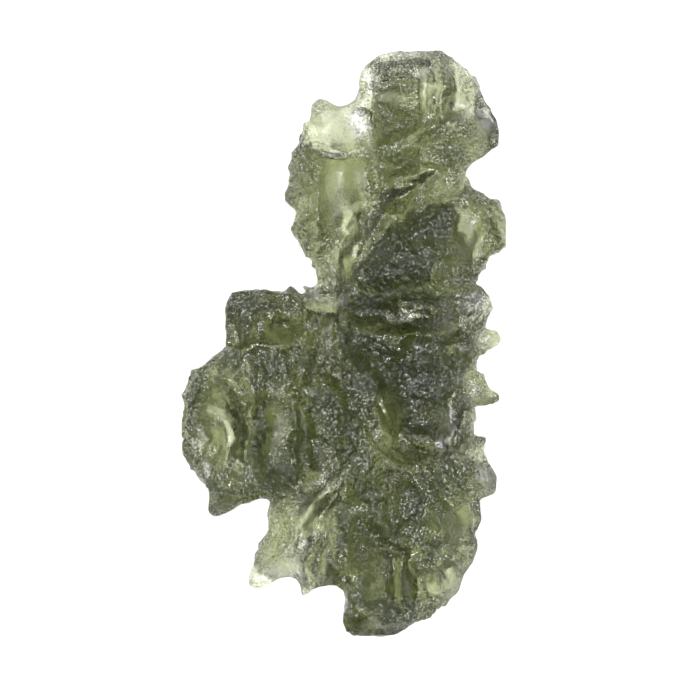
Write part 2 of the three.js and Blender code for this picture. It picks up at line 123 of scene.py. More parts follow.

# Pits of the etched skin, with painted shade darkening their colour. A pit lies where the grain, crowded by
# frost, passes these two levels.
PIT_CROWDING = 0.14
PIT_NOISE = (0.58, 0.63)
# Painted shade: the colour that the pits darken the glass to
PIT_PAINTED_SHADE = (0.16, 0.19, 0.09)
PIT_ROUGHNESS = 0.38
WINDOW_PITS = 0.45

# Light flakes of the etched skin, fewer in the clefts, and the powder of spots that are ground white
FLAKE_CROWDING = 0.05
FLAKE_NOISE = (0.4, 0.375)
FLAKE_IOR = 3.2
FLAKE_ROUGHNESS = 0.42
CLEFT_FLAKES = 0.35
POWDER_NOISE = (0.6, 0.5)

# The setting, in metres and watts, but the lens and the sensor in mm. Lamps are (name, place, size, power).
FLOOR_SIZE = 1.2
FLOOR_COLOUR = (0.7, 0.7, 0.7)
FLOOR_ROUGHNESS = 0.9
FLOOR_GLOSS = 0.1
LAMPS = [
    ("key_lamp", (-0.12, 0.18, 0.5), 0.22, 3.6),
    ("fill_lamp", (0.22, -0.1, 0.45), 0.25, 1.9),
]
SKY_STRENGTH = 0.16
LENS = 300
SENSOR_WIDTH = 36
FARTHEST_VIEW = 10

# Sharp crests of the upper side: (from, to, half width, rise), first two on the plan grid, last two in mm
CROWN_CRESTS = [
    ((440, 58), (446, 98), 0.35, 0.18),
    ((462, 66), (470, 102), 0.35, 0.18),
    ((383, 138), (400, 134), 0.35, 0.18),
    ((400, 134), (418, 124), 0.35, 0.18),
    ((445, 104), (456, 112), 0.35, 0.18),
    ((448, 124), (460, 121), 0.3, 0.18),
    ((420, 168), (446, 160), 0.35, 0.22),
    ((418, 183), (438, 177), 0.35, 0.18),
    ((408, 193), (426, 190), 0.3, 0.16),
    ((486, 104), (494, 124), 0.3, 0.12),
    ((392, 170), (410, 162), 0.3, 0.12),
    ((390, 206), (365, 258), 0.35, 0.22),
    ((460, 170), (450, 200), 0.35, 0.16),
]
PANEL_CRESTS = [
    ((371, 150), (377, 176), 0.35, 0.16),
    ((377, 176), (368, 202), 0.35, 0.16),
    ((348, 238), (345, 270), 0.35, 0.22),
    ((345, 270), (351, 302), 0.35, 0.18),
    ((321, 222), (318, 262), 0.3, 0.18),
    ((284, 198), (308, 187), 0.3, 0.18),
    ((300, 244), (318, 286), 0.3, 0.18),
    ((300, 306), (325, 292), 0.3, 0.18),
    ((324, 262), (330, 290), 0.3, 0.18),
    ((365, 236), (356, 284), 0.35, 0.18),
    ((300, 168), (292, 182), 0.3, 0.12),
]
SADDLE_CRESTS = [
    ((352, 264), (380, 240), 0.3, 0.18),
    ((380, 240), (452, 206), 0.3, 0.18),
    ((374, 262), (394, 284), 0.35, 0.22),
    ((384, 242), (400, 256), 0.35, 0.22),
    ((400, 226), (414, 246), 0.35, 0.22),
    ((408, 254), (432, 276), 0.35, 0.22),
    ((424, 232), (436, 250), 0.3, 0.18),
    ((436, 214), (446, 232), 0.3, 0.18),
    ((430, 252), (438, 292), 0.3, 0.24),
    ((446, 250), (436, 276), 0.3, 0.22),
    ((343, 308), (366, 318), 0.35, 0.22),
    ((366, 318), (386, 312), 0.35, 0.18),
    ((400, 300), (446, 312), 0.35, 0.24),
    ((386, 321), (414, 328), 0.35, 0.22),
    ((340, 322), (360, 345), 0.35, 0.24),
    ((360, 345), (384, 378), 0.35, 0.28),
    ((376, 396), (385, 421), 0.3, 0.24),
    ((412, 342), (424, 356), 0.35, 0.18),
    ((438, 346), (444, 372), 0.3, 0.22),
    ((456, 348), (468, 352), 0.3, 0.18),
    ((398, 366), (420, 356), 0.35, 0.18),
    ((420, 374), (446, 368), 0.3, 0.22),
    ((394, 388), (418, 394), 0.35, 0.18),
    ((424, 396), (448, 384), 0.35, 0.22),
    ((404, 412), (432, 404), 0.35, 0.18),
    ((418, 430), (446, 418), 0.3, 0.22),
    ((457, 378), (455, 448), 0.3, 0.24),
    ((464, 382), (461, 448), 0.3, 0.24),
    ((470, 402), (469, 450), 0.3, 0.24),
    ((438, 432), (450, 456), 0.35, 0.22),
    ((398, 446), (430, 452), 0.3, 0.18),
]
WING_CRESTS = [
    ((490, 200), (504, 248), 0.35, 0.18),
    ((465, 286), (488, 256), 0.35, 0.18),
    ((456, 216), (450, 254), 0.3, 0.18),
    ((470, 192), (488, 204), 0.3, 0.16),
    ((480, 340), (499, 338), 0.3, 0.18),
    ((478, 392), (498, 398), 0.3, 0.18),
]
LEFT_CRESTS = [
    ((246, 317), (247, 337), 0.35, 0.24),
    ((228, 306), (262, 299), 0.35, 0.22),
    ((264, 300), (290, 306), 0.35, 0.22),
    ((274, 320), (293, 331), 0.35, 0.24),
    ((330, 290), (335, 330), 0.35, 0.22),
    ((335, 330), (325, 370), 0.35, 0.22),
    ((325, 370), (292, 396), 0.35, 0.22),
    ((262, 360), (281, 386), 0.35, 0.24),
    ((252, 352), (262, 384), 0.35, 0.22),
    ((284, 350), (290, 384), 0.35, 0.22),
    ((236, 358), (214, 384), 0.35, 0.22),
    ((196, 378), (186, 430), 0.35, 0.22),
    ((186, 440), (206, 482), 0.3, 0.22),
    ((204, 400), (199, 444), 0.3, 0.24),
    ((247, 402), (245, 474), 0.3, 0.24),
    ((296, 404), (296, 464), 0.3, 0.24),
    ((312, 404), (316, 466), 0.3, 0.24),
    ((334, 404), (343, 462), 0.3, 0.24),
    ((344, 386), (352, 430), 0.3, 0.22),
    ((214, 486), (251, 497), 0.35, 0.18),
    ((216, 500), (236, 506), 0.3, 0.16),
]
BOTTOM_CRESTS = [
    ((300, 520), (262, 580), 0.35, 0.24),
    ((284, 500), (258, 552), 0.35, 0.22),
    ((352, 470), (318, 520), 0.35, 0.22),
    ((332, 500), (304, 562), 0.35, 0.28),
    ((326, 526), (318, 578), 0.35, 0.24),
    ((302, 530), (288, 572), 0.3, 0.22),
    ((352, 440), (358, 492), 0.35, 0.22),
    ((364, 450), (366, 500), 0.3, 0.22),
    ((388, 472), (386, 500), 0.3, 0.24),
    ((386, 500), (393, 536), 0.3, 0.24),
    ((368, 530), (385, 545), 0.3, 0.28),
    ((385, 545), (404, 549), 0.3, 0.28),
    ((386, 552), (388, 602), 0.3, 0.28),
    ((402, 556), (408, 606), 0.3, 0.24),
    ((414, 556), (428, 606), 0.3, 0.22),
    ((428, 554), (448, 594), 0.3, 0.24),
    ((442, 548), (462, 570), 0.3, 0.22),
    ((460, 540), (474, 556), 0.3, 0.18),
    ((412, 466), (442, 508), 0.3, 0.24),
    ((424, 458), (456, 504), 0.3, 0.24),
    ((436, 450), (468, 492), 0.3, 0.24),
    ((450, 446), (480, 480), 0.3, 0.22),
    ((470, 462), (494, 486), 0.35, 0.18),
    ((430, 500), (446, 534), 0.3, 0.22),
    ((452, 508), (470, 502), 0.3, 0.18),
    ((470, 502), (480, 512), 0.3, 0.16),
    ((346, 580), (356, 630), 0.3, 0.22),
    ((362, 613), (390, 623), 0.3, 0.22),
    ((398, 618), (436, 604), 0.3, 0.18),
    ((436, 604), (462, 572), 0.3, 0.18),
]

# Sharp grooves of the upper side: (from, to, half width, depth)
CROWN_GROOVES = [
    ((378, 84), (390, 79), 0.3, 0.22),
    ((390, 79), (418, 84), 0.3, 0.22),
    ((375, 88), (374, 138), 0.3, 0.22),
    ((383, 92), (384, 132), 0.3, 0.16),
    ((384, 146), (420, 133), 0.33, 0.28),
    ((386, 157), (414, 149), 0.3, 0.22),
    ((410, 178), (432, 168), 0.3, 0.22),
    ((446, 182), (447, 160), 0.3, 0.18),
    ((398, 197), (412, 184), 0.3, 0.22),
    ((438, 113), (420, 131), 0.3, 0.18),
    ((452, 107), (463, 117), 0.33, 0.32),
    ((444, 137), (482, 128), 0.35, 0.24),
    ((474, 78), (490, 110), 0.3, 0.18),
    ((490, 110), (497, 126), 0.3, 0.18),
    ((450, 148), (472, 152), 0.3, 0.18),
    ((434, 70), (438, 104), 0.3, 0.18),
    ((454, 74), (460, 100), 0.3, 0.18),
]
PANEL_GROOVES = [
    ((310, 150), (372, 151), 0.3, 0.22),
    ((314, 134), (313, 202), 0.35, 0.22),
    ((303, 140), (304, 162), 0.35, 0.22),
    ((300, 228), (318, 216), 0.33, 0.24),
    ((327, 229), (352, 235), 0.37, 0.32),
    ((362, 186), (374, 208), 0.3, 0.18),
    ((384, 150), (388, 200), 0.3, 0.24),
    ((310, 262), (316, 284), 0.3, 0.18),
    ((292, 192), (300, 200), 0.3, 0.18),
]
SADDLE_GROOVES = [
    ((360, 297), (384, 292), 0.4, 0.22),
    ((404, 291), (436, 286), 0.4, 0.24),
    ((354, 334), (380, 339), 0.4, 0.22),
    ((400, 336), (428, 331), 0.4, 0.22),
    ((374, 302), (392, 306), 0.3, 0.22),
    ((366, 326), (384, 320), 0.3, 0.22),
    ((452, 354), (468, 366), 0.4, 0.38),
    ((372, 380), (378, 428), 0.35, 0.38),
    ((366, 360), (372, 392), 0.35, 0.24),
    ((404, 434), (430, 438), 0.33, 0.32),
    ((461, 430), (464, 451), 0.3, 0.32),
    ((452, 440), (453, 452), 0.3, 0.22),
    ((450, 288), (478, 286), 0.3, 0.22),
    ((478, 286), (490, 297), 0.3, 0.22),
    ((392, 352), (416, 346), 0.33, 0.24),
    ((402, 376), (424, 368), 0.3, 0.22),
    ((420, 384), (446, 378), 0.3, 0.24),
    ((396, 402), (420, 402), 0.3, 0.22),
    ((426, 408), (448, 400), 0.3, 0.24),
    ((398, 422), (416, 416), 0.3, 0.24),
    ((450, 322), (456, 344), 0.3, 0.22),
    ((362, 274), (378, 288), 0.3, 0.24),
    ((396, 262), (412, 284), 0.3, 0.24),
    ((392, 236), (408, 252), 0.3, 0.24),
    ((420, 222), (430, 244), 0.3, 0.24),
]
WING_GROOVES = [
    ((486, 230), (468, 262), 0.33, 0.24),
    ((452, 258), (456, 280), 0.3, 0.22),
    ((466, 174), (460, 206), 0.3, 0.18),
]
LEFT_GROOVES = [
    ((253, 402), (256, 468), 0.4, 0.44),
    ((304, 402), (304, 470), 0.37, 0.44),
    ((304, 330), (303, 386), 0.35, 0.24),
    ((222, 370), (240, 360), 0.35, 0.24),
    ((273, 466), (286, 494), 0.33, 0.24),
    ((254, 468), (262, 498), 0.3, 0.24),
    ((300, 346), (256, 344), 0.3, 0.24),
    ((236, 312), (240, 340), 0.3, 0.24),
    ((270, 340), (274, 372), 0.3, 0.22),
    ((348, 302), (346, 350), 0.35, 0.28),
    ((352, 352), (344, 384), 0.3, 0.24),
    ((192, 440), (198, 466), 0.3, 0.18),
]
BOTTOM_GROOVES = [
    ((336, 500), (340, 560), 0.35, 0.34),
    ((384, 494), (381, 520), 0.35, 0.32),
    ((270, 531), (290, 528), 0.33, 0.24),
    ((440, 490), (466, 506), 0.33, 0.32),
    ((374, 516), (402, 540), 0.5, 0.32),
    ((360, 574), (384, 588), 0.35, 0.28),
    ((416, 590), (442, 596), 0.33, 0.24),
    ((358, 604), (408, 612), 0.4, 0.38),
    ((420, 546), (442, 552), 0.33, 0.28),
    ((456, 544), (474, 548), 0.3, 0.24),
    ((318, 540), (311, 574), 0.3, 0.22),
    ((418, 462), (448, 506), 0.3, 0.22),
    ((430, 454), (462, 498), 0.3, 0.22),
    ((443, 448), (474, 486), 0.3, 0.22),
    ((372, 456), (376, 492), 0.3, 0.24),
    ((346, 540), (350, 576), 0.3, 0.24),
]
CRESTS = CROWN_CRESTS + PANEL_CRESTS + SADDLE_CRESTS + WING_CRESTS + LEFT_CRESTS + BOTTOM_CRESTS
GROOVES = CROWN_GROOVES + PANEL_GROOVES + SADDLE_GROOVES + WING_GROOVES + LEFT_GROOVES + BOTTOM_GROOVES

# Ovals on the plan grid: (middle, half sizes). Windows are smooth and clear, rough zones are etched deeply.
WINDOWS = [
    ((340, 128), (32, 22)),
    ((343, 190), (26, 40)),
    ((426, 88), (8, 26)),
    ((450, 104), (12, 26)),
    ((486, 122), (12, 16)),
    ((392, 100), (12, 12)),
    ((350, 262), (9, 26)),
    ((330, 318), (9, 34)),
    ((466, 240), (14, 24)),
    ((449, 334), (10, 12)),
    ((446, 432), (8, 20)),
    ((391, 410), (12, 16)),
    ((210, 410), (12, 12)),
    ((224, 430), (10, 14)),
    ((240, 440), (9, 30)),
    ((278, 338), (14, 9)),
    ((274, 424), (10, 30)),
    ((224, 502), (14, 10)),
    ((310, 516), (14, 36)),
    ((330, 568), (9, 10)),
    ((404, 582), (12, 26)),
    ((440, 576), (14, 20)),
    ((360, 622), (16, 8)),
    ((274, 572), (24, 14)),
    ((466, 518), (14, 14)),
    ((490, 340), (12, 10)),
    ((486, 398), (14, 8)),
]
ROUGH_ZONES = [
    ((300, 140), (8, 20)),
    ((368, 222), (9, 12)),
    ((303, 236), (8, 26)),
    ((318, 262), (7, 10)),
    ((392, 158), (14, 8)),
    ((448, 156), (18, 9)),
    ((416, 384), (26, 30)),
    ((350, 350), (9, 24)),
    ((364, 392), (15, 42)),
    ((302, 354), (8, 18)),
    ((270, 370), (20, 18)),
    ((245, 306), (20, 14)),
    ((330, 430), (16, 28)),
    ((326, 406), (16, 9)),
    ((197, 382), (12, 16)),
    ((190, 434), (9, 50)),
    ((262, 480), (20, 16)),
    ((342, 520), (9, 26)),
    ((356, 464), (14, 24)),
    ((414, 518), (14, 28)),
    ((450, 478), (26, 22)),
    ((480, 354), (6, 26)),
    ((474, 304), (18, 14)),
    ((424, 612), (28, 12)),
]

# Ovals of tips, edges and crests that are ground white
WHITE_SPOTS = [
    ((358, 124), (9, 14)),
    ((466, 114), (8, 9)),
    ((485, 118), (8, 13)),
    ((484, 340), (8, 9)),
    ((474, 388), (7, 9)),
    ((371, 84), (7, 17)),
    ((294, 556), (10, 22)),
    ((477, 303), (13, 12)),
    ((442, 443), (6, 10)),
    ((450, 420), (4, 16)),
    ((309, 396), (5, 9)),
    ((342, 303), (4, 6)),
    ((284, 572), (22, 10)),
    ((262, 580), (8, 7)),
    ((484, 474), (9, 12)),
    ((198, 440), (5, 15)),
    ((206, 472), (5, 11)),
    ((461, 349), (5, 4)),
    ((417, 350), (4, 9)),
    ((312, 290), (10, 6)),
]

# Outlines on the plan grid of the broken facets, which are rough up to their edges
ROUGH_FACETS = [
    [(354, 268), (362, 256), (380, 244), (400, 222), (412, 212), (430, 208), (451, 208), (451, 238),
     (438, 254), (433, 270), (428, 286), (400, 288), (356, 291), (351, 280)],
    [(338, 322), (362, 338), (378, 340), (392, 345), (392, 356), (400, 368), (396, 374), (384, 380),
     (372, 364), (356, 344)],
    [(402, 422), (412, 418), (434, 424), (436, 436), (428, 442), (410, 441), (404, 432)],
    [(450, 352), (466, 352), (464, 378), (446, 378), (445, 362)],
    [(458, 425), (466, 425), (468, 453), (455, 450)],
    [(251, 434), (257, 436), (265, 456), (266, 462), (258, 472), (250, 462)],
    [(300, 420), (305, 424), (309, 440), (310, 466), (302, 471), (299, 450)],
    [(205, 484), (250, 488), (254, 500), (236, 492), (210, 492)],
    [(356, 572), (370, 574), (375, 582), (364, 598), (398, 601), (408, 612), (404, 622), (384, 618),
     (360, 608), (356, 590)],
    [(362, 472), (390, 468), (387, 500), (404, 520), (408, 541), (386, 545), (360, 524)],
    [(418, 540), (440, 540), (442, 560), (424, 556)],
]

# Outlines on the plan grid of the clefts, made the darkest by crowded pits of painted shade and fewer flakes
CLEFTS = [
    [(226, 352), (240, 355), (236, 362), (222, 372), (217, 368)],
    [(260, 398), (268, 398), (266, 420), (262, 450), (256, 438), (256, 414)],
    [(249, 440), (258, 434), (267, 460), (256, 466), (248, 462)],
    [(298, 408), (305, 420), (309, 440), (310, 467), (300, 470), (296, 440)],
    [(270, 466), (284, 462), (296, 470), (298, 486), (288, 493), (272, 491), (264, 480)],
    [(206, 484), (250, 488), (250, 494), (212, 492)],
    [(320, 384), (330, 390), (338, 404), (334, 410), (318, 402), (310, 410), (306, 404)],
    [(335, 418), (350, 410), (360, 428), (352, 442), (340, 436)],
    [(352, 292), (400, 289), (430, 291), (446, 300), (440, 305), (420, 301), (398, 299), (380, 305),
     (360, 304)],
    [(337, 322), (352, 334), (362, 347), (352, 350), (342, 340)],
    [(350, 352), (364, 352), (372, 368), (384, 382), (380, 396), (366, 398), (352, 386)],
    [(400, 360), (420, 358), (446, 360), (444, 368), (420, 368), (404, 366)],
    [(452, 353), (466, 354), (464, 368), (448, 368)],
    [(404, 431), (420, 428), (434, 430), (434, 438), (420, 441), (408, 440)],
    [(459, 427), (465, 427), (466, 450), (456, 448)],
    [(366, 478), (378, 472), (382, 486), (372, 494), (362, 504), (358, 494)],
    [(372, 498), (384, 496), (387, 512), (398, 528), (407, 541), (390, 545), (374, 532), (368, 518)],
    [(336, 494), (344, 500), (348, 530), (341, 556), (336, 540), (338, 516)],
    [(356, 576), (372, 575), (374, 583), (364, 597), (398, 601), (408, 611), (394, 611), (376, 606),
     (358, 606)],
    [(419, 541), (440, 541), (442, 552), (426, 554)],
]


def on_plan(x, y, height=0.0):
    """A plan grid point in the frame, in metres."""
    return Vector(((x - PLAN_CENTRE[0]) * STEP, (PLAN_CENTRE[1] - y) * STEP, height))


def deselect():
    bpy.ops.object.select_all(action="DESELECT")


def pick(obj):
    """Makes an object the only one selected, and the active one."""
    deselect()
    obj.select_set(True)
    bpy.context.view_layer.objects.active = obj


def apply_modifier(obj, modifier):
    pick(obj)
    bpy.ops.object.modifier_apply(modifier=modifier.name)


# The stone's skin


def rough_stone():
    """A copy of the CAD stone with an even, fine skin that can be carved."""
    pick(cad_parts["moldavite"])
    bpy.ops.object.duplicate()
    stone = bpy.context.active_object
    stone.name = "etched_stone"
    pick(stone)
    bpy.ops.object.mode_set(mode="EDIT")
    bpy.ops.mesh.select_all(action="SELECT")
    bpy.ops.mesh.remove_doubles(threshold=WELD_DISTANCE)
    bpy.ops.object.mode_set(mode="OBJECT")
    remesh = stone.modifiers.new("even_skin", "REMESH")
    remesh.mode = "VOXEL"
    remesh.voxel_size = VOXEL
    apply_modifier(stone, remesh)
    smooth = stone.modifiers.new("soften", "SMOOTH")
    smooth.factor = SMOOTH_FACTOR
    smooth.iterations = SMOOTH_ROUNDS
    apply_modifier(stone, smooth)
    return stone


def corners_of(stone):
    """The stone's vertices, a row of x, y and z each."""
    places = np.empty(3 * len(stone.data.vertices))
    stone.data.vertices.foreach_get("co", places)
    return places.reshape(-1, 3)


def move_corners(stone, places):
    stone.data.vertices.foreach_set("co", places.ravel())
    stone.data.update()


def facing_up(stone):
    """How far each vertex faces up, from 0 on walls and the underside to 1 on level ground."""
    normals = np.empty(3 * len(stone.data.vertices))
    stone.data.vertex_normals.foreach_get("vector", normals)
    return np.clip(normals.reshape(-1, 3)[:, 2] / LEVEL_ENOUGH, 0, 1)


def wander(points):
    """Plan points, shifted by slow waves and small ripples, so that no stroke or edge runs quite straight."""
    x, y = points[:, 0] / MM, points[:, 1] / MM
    shift_x = np.sin(3.1 * y + 1.3 * np.sin(2.3 * x)) + 0.3 * np.sin(7.3 * y + 2.0 * x)
    shift_y = np.sin(2.7 * x + 1.7 * np.sin(1.9 * y)) + 0.3 * np.sin(6.1 * x - 3.0 * y)
    return points + WANDER * np.column_stack((shift_x, shift_y))


def stroke_heights(points, strokes):
    """The height of the tallest stroke at each plan point: sharp along its line, and lower at its ends."""
    tallest = np.zeros(len(points))
    for start, end, half_width, height in strokes:
        first, last = (np.array(on_plan(*place))[:2] for place in (start, end))
        line = last - first
        along = (points - first) @ line / (line @ line)
        nearest = first + np.clip(along, 0, 1)[:, None] * line
        away = np.linalg.norm(points - nearest, axis=1) / (half_width * MM)
        fade = np.clip(np.minimum(along, 1 - along) * STROKE_END_SLOPE + STROKE_END, 0, 1)
        tallest = np.maximum(tallest, height * MM * fade * np.clip(1 - away, 0, 1))
    return tallest


def oval_weights(points, ovals):
    """How deep each plan point lies in its nearest oval, from 0 past the edge to 1 well inside."""
    deepest = np.zeros(len(points))
    for middle, half_sizes in ovals:
        away = (points - np.array(on_plan(*middle))[:2]) / (np.array(half_sizes) * STEP)
        weight = np.clip(OVAL_LEVEL - OVAL_SLOPE * np.linalg.norm(away, axis=1), 0, 1)
        deepest = np.maximum(deepest, weight)
    return deepest


def chisel(stone):
    """Raises the sharp crests and cuts the sharp grooves of the upper side, both worn down in the windows."""
    places = corners_of(stone)
    points = wander(places[:, :2])
    relief = stroke_heights(points, CRESTS) - stroke_heights(points, GROOVES)
    worn = 1 - WINDOW_WEAR * oval_weights(places[:, :2], WINDOWS)
    places[:, 2] += relief * worn * facing_up(stone)
    move_corners(stone, places)


def inside(points, outline):
    """Which plan points lie inside an outline: those with an odd number of its edges to their right."""
    corners = np.array([on_plan(*corner)[:2] for corner in outline])
    within = np.zeros(len(points), bool)
    for start, end in zip(corners, np.roll(corners, -1, axis=0)):
        if start[1] == end[1]:
            continue
        crossing = start[0] + (points[:, 1] - start[1]) * (end[0] - start[0]) / (end[1] - start[1])
        passed = (start[1] > points[:, 1]) != (end[1] > points[:, 1])
        within ^= passed & (points[:, 0] < crossing)
    return within


def etching(stone):
    """How deeply each vertex is etched: little in windows, more on crests and rough zones, most in clefts."""
    points = wander(corners_of(stone)[:, :2])
    zones = ROUGH_GAIN * oval_weights(points, ROUGH_ZONES) - WINDOW_LOSS * oval_weights(points, WINDOWS)
    crests = stroke_heights(points, CRESTS) / MM
    depths = np.clip(USUAL_DEPTH + zones + crests, 0, 1)
    # Clefts go past full etching, which crowds them with pits of painted shade
    for outlines, depth in ((ROUGH_FACETS, FACET_DEPTH), (CLEFTS, CLEFT_DEPTH_AND_SHADE)):
        for outline in outlines:
            depths[inside(points, outline)] = depth
    return depths


def etched_group(stone):
    """The name of a vertex group of how deeply the skin is etched, for the carving."""
    group = stone.vertex_groups.new(name="etched")
    for index, depth in enumerate(etching(stone)):
        group.add([index], min(depth, 1), "REPLACE")
    return group.name


def mark(stone, name, values):
    """Keeps a value for each vertex as an attribute, for the glass."""
    layer = stone.data.attributes.new(name, "FLOAT", "POINT")
    layer.data.foreach_set("value", values)


def carving_frame(heading, size, stretch):
    """An empty that turns and stretches a carving texture: heading in degrees on the plan, size in metres."""
    deselect()
    bpy.ops.object.empty_add(type="PLAIN_AXES", rotation=(0, 0, math.radians(heading)))
    empty = bpy.context.active_object
    empty.scale = (size * stretch, size, size)
    bpy.context.view_layer.update()
    return empty


def carve(stone, texture, depth, size, heading, stretch, level, group):
    """Carves a texture into the skin along its normals, then applies it."""
    empty = carving_frame(heading, size, stretch)
    displace = stone.modifiers.new("carve", "DISPLACE")
    displace.texture = texture
    displace.texture_coords = "OBJECT"
    displace.texture_coords_object = empty
    displace.direction = "NORMAL"
    displace.strength = depth
    displace.mid_level = level
    displace.vertex_group = group
    apply_modifier(stone, displace)
    pick(empty)
    bpy.ops.object.delete()


def cups_texture():
    """Round etched cups that meet in sharp crests."""
    texture = bpy.data.textures.new("cups", "VORONOI")
    texture.distance_metric = "DISTANCE_SQUARED"
    texture.noise_scale = 1.0
    texture.noise_intensity = 1.0
    return texture


def crags_texture():
    """Sharp, uneven crags."""
    texture = bpy.data.textures.new("crags", "CLOUDS")
    texture.noise_scale = 1.0
    texture.noise_depth = 3
    texture.noise_type = "HARD_NOISE"
    return texture


def thin_out(stone):
    """Fewer, larger faces where the carved skin is nearly flat."""
    fewer = stone.modifiers.new("fewer_faces", "DECIMATE")
    fewer.ratio = KEPT_SHARE
    apply_modifier(stone, fewer)


def settle(stone):
    """Keeps the carved skin above the surface that it lies on, and inside the CAD stone's box."""
    low, high = np.array(CAD_BOX[0]), np.array(CAD_BOX[1])
    move_corners(stone, np.clip(corners_of(stone), low, high))


def etched_stone():
    """The whole skin, carved, thinned out and marked for the glass."""
    stone = rough_stone()
    chisel(stone)
    group = etched_group(stone)
    textures = {"cups": cups_texture(), "crags": crags_texture()}
    for kind, depth, size, heading, stretch, level in CARVINGS:
        carve(stone, textures[kind], depth * MM, size * MM, heading, stretch, level, group)
    thin_out(stone)
    settle(stone)
    mark(stone, "frost", etching(stone))
    mark(stone, "white", oval_weights(wander(corners_of(stone)[:, :2]), WHITE_SPOTS))
    pick(stone)
    bpy.ops.object.shade_smooth()
    return stone


# Nodes that the glass is put together from


def node(tree, kind, spot, **settings):
    made = tree.nodes.new(kind)
    made.location = spot
    for name, value in settings.items():
        setattr(made, name, value)
    return made


def attribute(tree, spot, name):
    """One of the stone's own marks."""
    return node(tree, "ShaderNodeAttribute", spot, attribute_name=name).outputs["Fac"]


def noise(tree, spot, scale, detail, crispness=0.5, kind="FBM"):
    """A noise over the piece's own coordinates."""
    coordinates = node(tree, "ShaderNodeTexCoord", (spot[0] - 250, spot[1]))
    made = node(tree, "ShaderNodeTexNoise", spot, noise_type=kind)
    made.inputs["Scale"].default_value = scale
    made.inputs["Detail"].default_value = detail
    made.inputs["Roughness"].default_value = crispness
    tree.links.new(coordinates.outputs["Object"], made.inputs["Vector"])
    return made.outputs["Fac"]


def ranged(tree, spot, value, from_range, to_range=(0.0, 1.0)):
    """A socket's value, mapped from one range to another and held within it."""
    made = node(tree, "ShaderNodeMapRange", spot)
    made.inputs["From Min"].default_value, made.inputs["From Max"].default_value = from_range
    made.inputs["To Min"].default_value, made.inputs["To Max"].default_value = to_range
    tree.links.new(value, made.inputs["Value"])
    return made.outputs["Result"]


def combined(tree, spot, operation, *values):
    """Sockets and plain numbers, put together by a sum or other operation."""
    made = node(tree, "ShaderNodeMath", spot, operation=operation)
    for socket, value in zip(made.inputs, values):
        if isinstance(value, float):
            socket.default_value = value
        else:
            tree.links.new(value, socket)
    return made.outputs["Value"]


def tinted(tree, spot, share, base, other):
    """One colour, mixed with a share of another."""
    made = node(tree, "ShaderNodeMix", spot, data_type="RGBA")
    made.inputs["A"].default_value = (*base, 1)
    made.inputs["B"].default_value = (*other, 1)
    tree.links.new(share, made.inputs["Factor"])
    return made.outputs["Result"]


def bumped(tree, spot, height, depth):
    """The normal of a skin roughened by a height."""
    made = node(tree, "ShaderNodeBump", spot)
    made.inputs["Strength"].default_value = 1.0
    made.inputs["Distance"].default_value = depth
    tree.links.new(height, made.inputs["Height"])
    return made.outputs["Normal"]


# Materials


def frosting(tree, etched):
    """How frosted the skin is: as much as it is etched, in uneven patches."""
    unevenness = noise(tree, (-1500, 200), PATCH_SCALE, 4.0)
    patches = ranged(tree, (-1300, 200), unevenness, PATCH_NOISE, PATCH_CHANGE)
    return combined(tree, (-1100, 400), "ADD", etched, patches)


def pits_with_painted_shade(tree, frost, grain, bare):
    """Pits, crowded where the skin is frosted and faint in the windows: a mask that paints shade into the
    glass.
    """
    crowded = combined(tree, (-500, 200), "MULTIPLY_ADD", frost, PIT_CROWDING, grain)
    pits = ranged(tree, (-250, 300), crowded, PIT_NOISE)
    strength = ranged(tree, (-500, 700), bare, (0.0, 1.0), (1.0, WINDOW_PITS))
    return combined(tree, (-100, 300), "MULTIPLY", pits, strength)


def light_flakes(tree, etched, frost, grain, bare):
    """Flakes, fewer in the clefts and none in the windows, and spots that are ground white."""
    crowded = combined(tree, (-500, -100), "MULTIPLY_ADD", frost, -FLAKE_CROWDING, grain)
    flakes = ranged(tree, (-250, -50), crowded, FLAKE_NOISE)
    open_skin = ranged(tree, (-500, 0), etched, (1.0, CLEFT_DEPTH_AND_SHADE), (1.0, CLEFT_FLAKES))
    strength = combined(tree, (-300, 50), "SUBTRACT", open_skin, bare)
    etched_flakes = combined(tree, (-100, 0), "MULTIPLY", flakes, strength)
    powder = ranged(tree, (-250, -200), grain, POWDER_NOISE)
    white = combined(tree, (-100, -100), "MULTIPLY", attribute(tree, (-1500, -100), "white"), powder)
    return combined(tree, (50, 0), "MAXIMUM", etched_flakes, white)


def glass_roughness(tree, pits, bare):
    """Nearly smooth glass, hazy in the windows and rough in the pits."""
    haze = ranged(tree, (-500, 600), bare, (0.0, 1.0), (CLEAR_ROUGHNESS, WINDOW_ROUGHNESS))
    pit_roughness = combined(tree, (-100, 500), "MULTIPLY", pits, PIT_ROUGHNESS)
    return combined(tree, (100, 500), "MAXIMUM", haze, pit_roughness)


def skin_normal(tree, frost, grain):
    """Fine ridges and grain, nearly flat where the skin isn't frosted."""
    ridges = noise(tree, (-800, -600), RIDGE_SCALE, 2.0, kind="RIDGED_MULTIFRACTAL")
    relief = combined(tree, (-500, -500), "MULTIPLY_ADD", ridges, RIDGE_SHARE, grain)
    share = ranged(tree, (-500, -300), frost, RELIEF_FROST, RELIEF_SHARE)
    height = combined(tree, (-300, -300), "MULTIPLY", relief, share)
    return bumped(tree, (0, -300), height, GRAIN_DEPTH)


